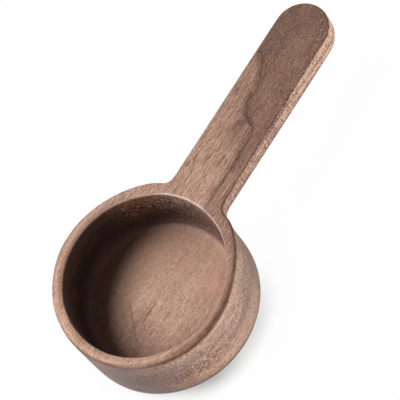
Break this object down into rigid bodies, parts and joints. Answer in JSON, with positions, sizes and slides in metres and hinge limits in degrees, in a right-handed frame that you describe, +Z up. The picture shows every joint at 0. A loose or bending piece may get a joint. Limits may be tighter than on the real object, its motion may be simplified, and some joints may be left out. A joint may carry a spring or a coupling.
{
  "type": "measuring spoon",
  "caption": "Wooden measuring scoop: a round, straight-sided cup with a flat handle level with its rim, cut from a single block of dark walnut.",
  "frame": {"origin": "centre of the cup's flat base, on the surface it stands on", "axes": "+Z up out of the cup's mouth, +X from the cup along the handle to its tip, +Y across the handle"},
  "size_m": [0.1193, 0.055, 0.0228],
  "materials": {
    "walnut": "oiled and sanded smooth, grain along the handle"
  },
  "bodies": {
    "root": {"scoop": "walnut"}
  },
  "joints": []
}
